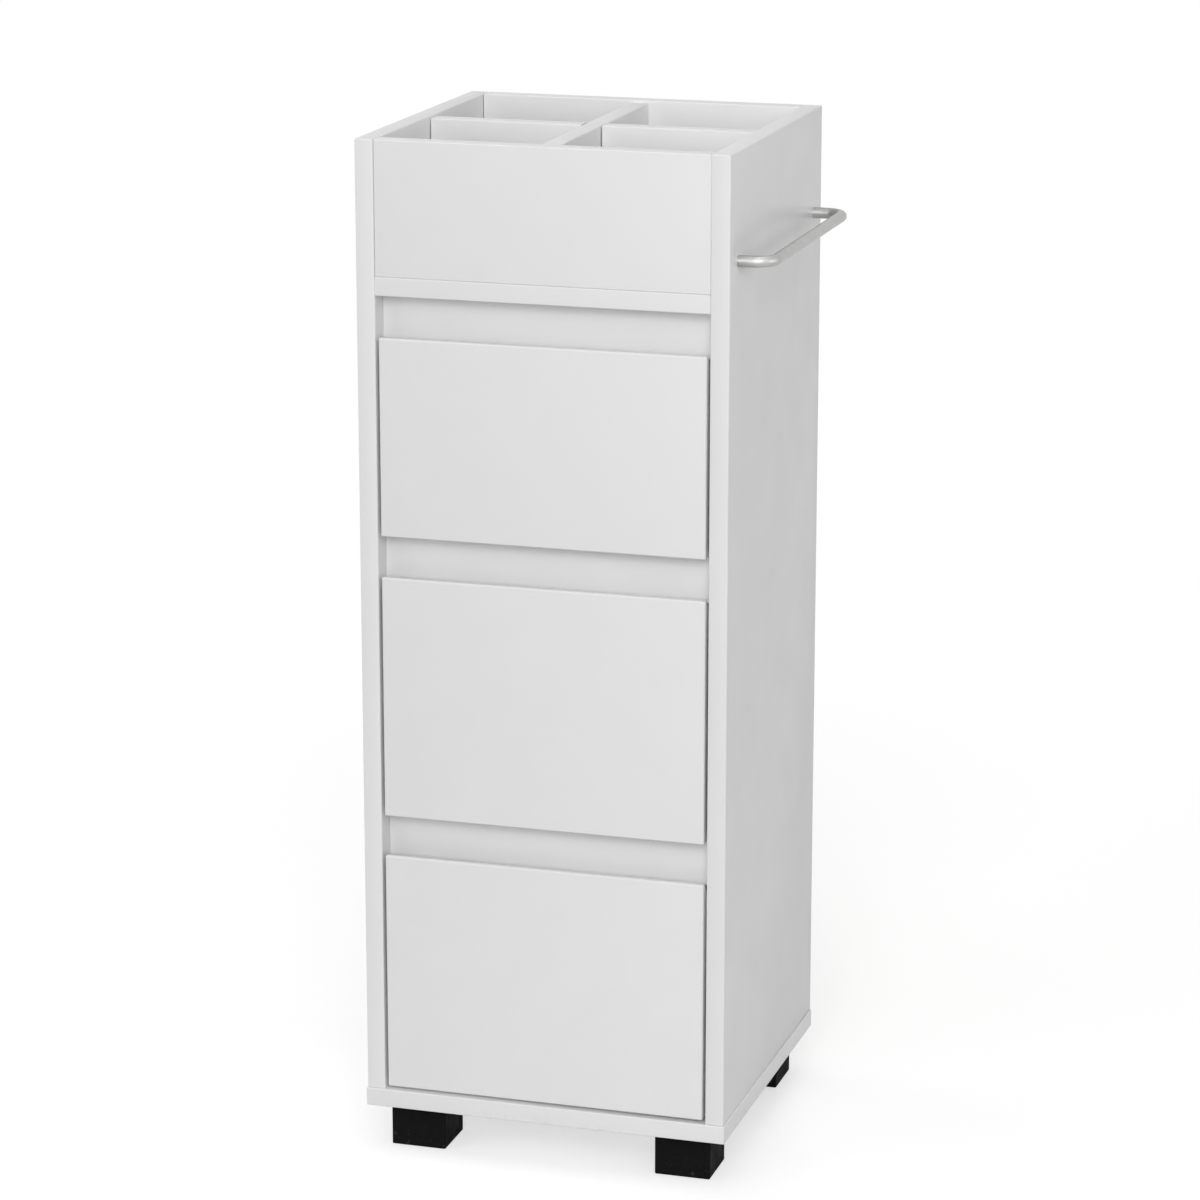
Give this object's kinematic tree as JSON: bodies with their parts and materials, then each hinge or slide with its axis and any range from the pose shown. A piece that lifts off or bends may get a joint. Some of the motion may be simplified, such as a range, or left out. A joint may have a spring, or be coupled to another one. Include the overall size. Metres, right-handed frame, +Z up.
{
  "type": "bathroom cabinet",
  "caption": "Slim white floor-standing bathroom cabinet with an open divided tray on top, flush drawers with finger recesses, a side rail and black block feet.",
  "frame": {"origin": "on the floor, under the middle of the whole part's box, side rail included", "axes": "+Z up, the drawers open towards -Y, +X towards the side rail"},
  "size_m": [0.3314, 0.285, 0.83],
  "materials": {
    "white_board": "white satin melamine on chipboard",
    "thin_board": "white lacquered hardboard",
    "plain_wood": "plain beech",
    "black_plastic": "moulded black plastic",
    "satin_metal": "satin silver",
    "coated_steel": "white epoxy coat",
    "nylon": "natural nylon",
    "zinc": "zinc plated"
  },
  "bodies": {
    "carcass": {"back_panel": "thin_board", "base_panel": "white_board", "cam_bolts": "zinc", "cam_housings": "zinc", "cross_divider": "white_board", "foot_screws": "zinc", "front_left_foot": "black_plastic", "front_right_foot": "black_plastic", "left_side_panel": "white_board", "long_divider": "white_board", "lower_left_cabinet_runner": "coated_steel", "lower_recess_rail": "white_board", "lower_right_cabinet_runner": "coated_steel", "middle_left_cabinet_runner": "coated_steel", "middle_recess_rail": "white_board", "middle_right_cabinet_runner": "coated_steel", "rear_left_foot": "black_plastic", "rear_right_foot": "black_plastic", "right_side_panel": "white_board", "runner_screws": "zinc", "side_rail": "satin_metal", "side_rail_screws": "zinc", "tray_back": "white_board", "tray_floor": "white_board", "tray_front": "white_board", "upper_left_cabinet_runner": "coated_steel", "upper_recess_rail": "white_board", "upper_right_cabinet_runner": "coated_steel", "wood_dowels": "plain_wood"},
    "lower_drawer": {"lower_drawer_back": "white_board", "lower_drawer_bottom": "thin_board", "lower_drawer_cams": "zinc", "lower_drawer_front": "white_board", "lower_drawer_left_side": "white_board", "lower_drawer_right_side": "white_board", "lower_left_drawer_runner": "coated_steel", "lower_right_drawer_runner": "coated_steel"},
    "lower_front_rollers": {"lower_front_rollers": "nylon"},
    "lower_rear_rollers": {"lower_rear_rollers": "nylon"},
    "middle_drawer": {"middle_drawer_back": "white_board", "middle_drawer_bottom": "thin_board", "middle_drawer_cams": "zinc", "middle_drawer_front": "white_board", "middle_drawer_left_side": "white_board", "middle_drawer_right_side": "white_board", "middle_left_drawer_runner": "coated_steel", "middle_right_drawer_runner": "coated_steel"},
    "middle_front_rollers": {"middle_front_rollers": "nylon"},
    "middle_rear_rollers": {"middle_rear_rollers": "nylon"},
    "upper_drawer": {"upper_drawer_back": "white_board", "upper_drawer_bottom": "thin_board", "upper_drawer_cams": "zinc", "upper_drawer_front": "white_board", "upper_drawer_left_side": "white_board", "upper_drawer_right_side": "white_board", "upper_left_drawer_runner": "coated_steel", "upper_right_drawer_runner": "coated_steel"},
    "upper_front_rollers": {"upper_front_rollers": "nylon"},
    "upper_rear_rollers": {"upper_rear_rollers": "nylon"}
  },
  "joints": [
    {"name": "lower_drawer_slide", "type": "slide", "parent": "carcass", "child": "lower_drawer", "axis": [0, -1, 0], "range_m": [0, 0.18]},
    {"name": "lower_front_rollers_turn", "type": "hinge", "parent": "carcass", "child": "lower_front_rollers", "pos_m": [-0.01475, -0.1135, 0.07775], "axis": [1, 0, 0], "range_deg": [0, 1336]},
    {"name": "lower_rear_rollers_turn", "type": "hinge", "parent": "lower_drawer", "child": "lower_rear_rollers", "pos_m": [-0.01475, 0.1025, 0.0785], "axis": [1, 0, 0], "range_deg": [0, 1218]},
    {"name": "middle_drawer_slide", "type": "slide", "parent": "carcass", "child": "middle_drawer", "axis": [0, -1, 0], "range_m": [0, 0.18]},
    {"name": "middle_front_rollers_turn", "type": "hinge", "parent": "carcass", "child": "middle_front_rollers", "pos_m": [-0.01475, -0.1135, 0.30775], "axis": [1, 0, 0], "range_deg": [0, 1336]},
    {"name": "middle_rear_rollers_turn", "type": "hinge", "parent": "middle_drawer", "child": "middle_rear_rollers", "pos_m": [-0.01475, 0.1025, 0.3085], "axis": [1, 0, 0], "range_deg": [0, 1218]},
    {"name": "upper_drawer_slide", "type": "slide", "parent": "carcass", "child": "upper_drawer", "axis": [0, -1, 0], "range_m": [0, 0.18]},
    {"name": "upper_front_rollers_turn", "type": "hinge", "parent": "carcass", "child": "upper_front_rollers", "pos_m": [-0.01475, -0.1135, 0.53775], "axis": [1, 0, 0], "range_deg": [0, 1336]},
    {"name": "upper_rear_rollers_turn", "type": "hinge", "parent": "upper_drawer", "child": "upper_rear_rollers", "pos_m": [-0.01475, 0.1025, 0.5385], "axis": [1, 0, 0], "range_deg": [0, 1218]}
  ],
  "couplings": [
    {"joint": "lower_front_rollers_turn", "follows": "lower_drawer_slide", "rad_per_m": 129.03},
    {"joint": "lower_rear_rollers_turn", "follows": "lower_drawer_slide", "rad_per_m": 117.65},
    {"joint": "middle_front_rollers_turn", "follows": "middle_drawer_slide", "rad_per_m": 129.03},
    {"joint": "middle_rear_rollers_turn", "follows": "middle_drawer_slide", "rad_per_m": 117.65},
    {"joint": "upper_front_rollers_turn", "follows": "upper_drawer_slide", "rad_per_m": 129.03},
    {"joint": "upper_rear_rollers_turn", "follows": "upper_drawer_slide", "rad_per_m": 117.65}
  ]
}
